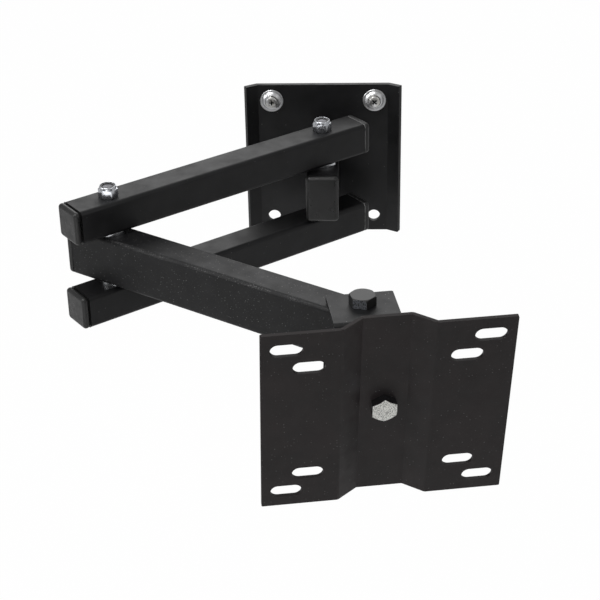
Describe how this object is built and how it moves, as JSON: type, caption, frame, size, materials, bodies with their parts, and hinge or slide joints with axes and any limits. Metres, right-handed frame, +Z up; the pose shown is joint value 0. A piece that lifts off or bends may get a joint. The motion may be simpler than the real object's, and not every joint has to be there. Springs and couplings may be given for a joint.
{
  "type": "tv wall mount",
  "caption": "Full-motion wall mount: folded wall plate, paired square arms, one outer arm, and a swivelling, tilted screen plate with a folded channel and slots.",
  "frame": {"origin": "midway between the two wall screws, on the back face of the wall plate, which is the wall's surface", "axes": "+Y into the wall along the screws, +X to the right as seen from the room, +Z up"},
  "size_m": [0.2484, 0.2965, 0.1407],
  "materials": {
    "black_steel": "satin black powder coat",
    "cap_plastic": "satin moulded plastic",
    "zinc_steel": "bright zinc plate",
    "black_bolt": "dark plate, worn on one flat",
    "plain_steel": "plain drawn steel",
    "nylon": "dull nylon"
  },
  "bodies": {
    "wall": {"wall_plate": "black_steel", "stub_tube": "black_steel", "stub_cap": "cap_plastic", "wall_pivot_bush": "plain_steel", "wall_screw_left": "zinc_steel", "wall_screw_right": "zinc_steel", "cup_washer_left": "zinc_steel", "cup_washer_right": "zinc_steel"},
    "arm_pair": {"upper_arm": "black_steel", "lower_arm": "black_steel", "upper_arm_wall_cap": "cap_plastic", "upper_arm_elbow_cap": "cap_plastic", "lower_arm_wall_cap": "cap_plastic", "lower_arm_elbow_cap": "cap_plastic", "wall_pivot_bolt": "zinc_steel", "wall_pivot_lower_spacer": "zinc_steel", "wall_pivot_upper_spacer": "zinc_steel", "wall_pivot_nut": "zinc_steel", "wall_pivot_nut_ring": "nylon", "elbow_bolt": "zinc_steel", "elbow_lower_spacer": "zinc_steel", "elbow_upper_spacer": "zinc_steel", "elbow_nut": "zinc_steel", "elbow_nut_ring": "nylon"},
    "outer_arm": {"outer_arm": "black_steel", "outer_arm_elbow_cap": "cap_plastic", "outer_arm_head_cap": "cap_plastic", "elbow_bush": "plain_steel", "head_bush": "plain_steel", "head_friction_washer": "nylon", "head_bolt": "black_bolt"},
    "head": {"head_bracket": "black_steel", "plate_spacer": "black_steel"},
    "screen": {"screen_plate": "black_steel", "plate_bolt": "zinc_steel", "plate_nut_washer": "zinc_steel", "plate_nut": "zinc_steel", "plate_nut_ring": "nylon"}
  },
  "joints": [
    {"name": "wall_swing", "type": "hinge", "parent": "wall", "child": "arm_pair", "pos_m": [0, -0.042, -0.0405], "axis": [0, 0, 1], "range_deg": [-30, 45]},
    {"name": "elbow_fold", "type": "hinge", "parent": "arm_pair", "child": "outer_arm", "pos_m": [-0.11964, -0.13413, -0.0405], "axis": [0, 0, 1], "range_deg": [-110, 25]},
    {"name": "head_swivel", "type": "hinge", "parent": "outer_arm", "child": "head", "pos_m": [0.02358, -0.22572, -0.0405], "axis": [0, 0, 1], "range_deg": [-36, 133]},
    {"name": "plate_roll", "type": "hinge", "parent": "head", "child": "screen", "pos_m": [0.03395, -0.24771, -0.06889], "axis": [0.1537, -0.9702, -0.1874], "range_deg": [-90, 90]}
  ]
}
